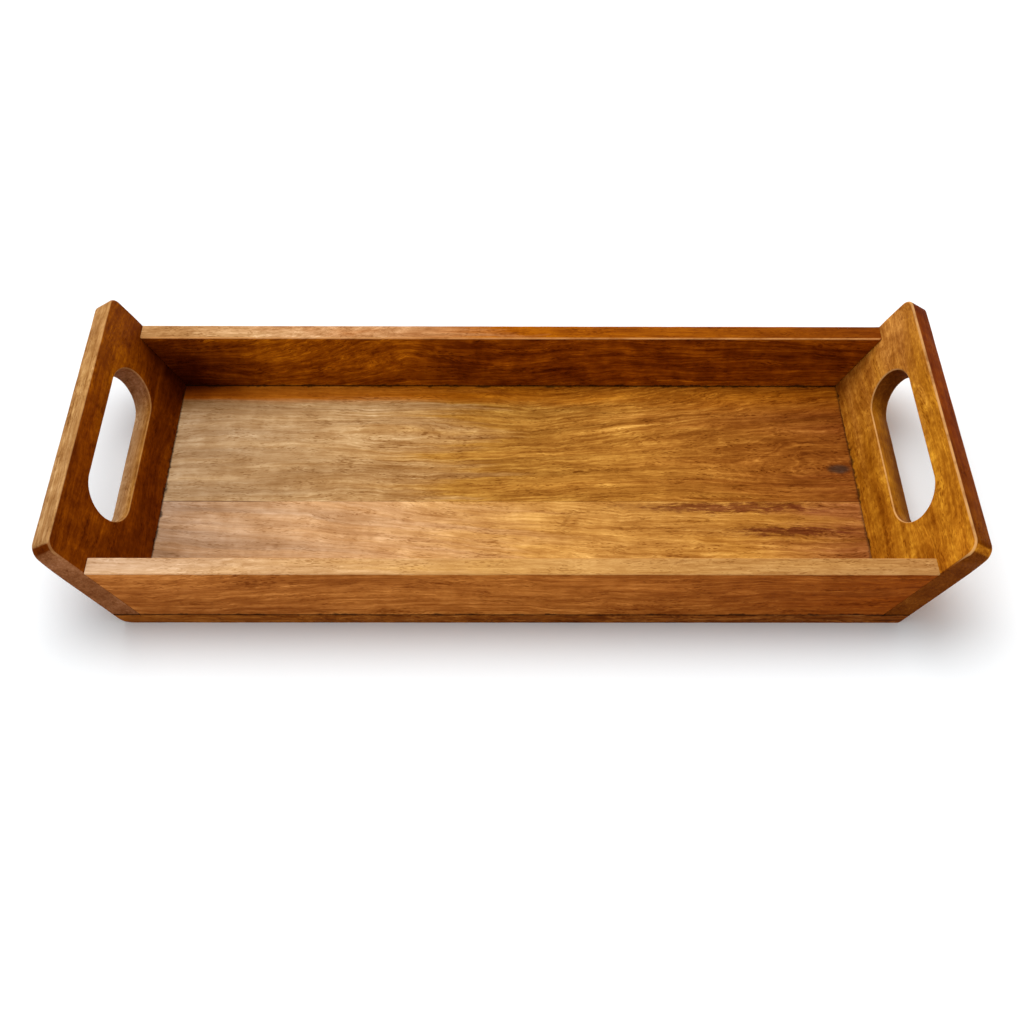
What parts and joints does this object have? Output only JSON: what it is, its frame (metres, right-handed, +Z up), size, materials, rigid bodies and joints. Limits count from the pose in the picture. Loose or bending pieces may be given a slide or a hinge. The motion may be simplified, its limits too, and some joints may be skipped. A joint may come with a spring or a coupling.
{
  "type": "serving tray",
  "caption": "Small rectangular wooden serving tray with a flat base, low side rails and flared end panels with slotted hand holds.",
  "frame": {"origin": "on the surface that the tray stands on, under the middle of the base", "axes": "+X along the tray to the right end panel, +Y across it to the back rail, +Z up out of the tray"},
  "size_m": [0.466, 0.1864, 0.0632],
  "materials": {
    "base_wood": "oiled satin hardwood, grain along the tray",
    "rail_wood": "oiled satin hardwood, stained warm brown, grain along the tray",
    "end_panel_wood": "oiled satin hardwood, stained warm brown, grain from front to back",
    "dowel_wood": "raw fluted beech",
    "screw_steel": "yellow zinc plated steel"
  },
  "bodies": {
    "root": {"base_board_front": "base_wood", "base_board_back": "base_wood", "front_rail": "rail_wood", "back_rail": "rail_wood", "left_end_panel": "end_panel_wood", "right_end_panel": "end_panel_wood", "rail_dowel_front_left_low": "dowel_wood", "rail_dowel_front_left_high": "dowel_wood", "rail_dowel_back_left_low": "dowel_wood", "rail_dowel_back_left_high": "dowel_wood", "rail_dowel_front_right_low": "dowel_wood", "rail_dowel_front_right_high": "dowel_wood", "rail_dowel_back_right_low": "dowel_wood", "rail_dowel_back_right_high": "dowel_wood", "rail_screw_front_left": "screw_steel", "rail_screw_front_middle": "screw_steel", "rail_screw_front_right": "screw_steel", "rail_screw_back_left": "screw_steel", "rail_screw_back_middle": "screw_steel", "rail_screw_back_right": "screw_steel", "panel_screw_left_front": "screw_steel", "panel_screw_left_back": "screw_steel", "panel_screw_right_front": "screw_steel", "panel_screw_right_back": "screw_steel"}
  },
  "joints": []
}
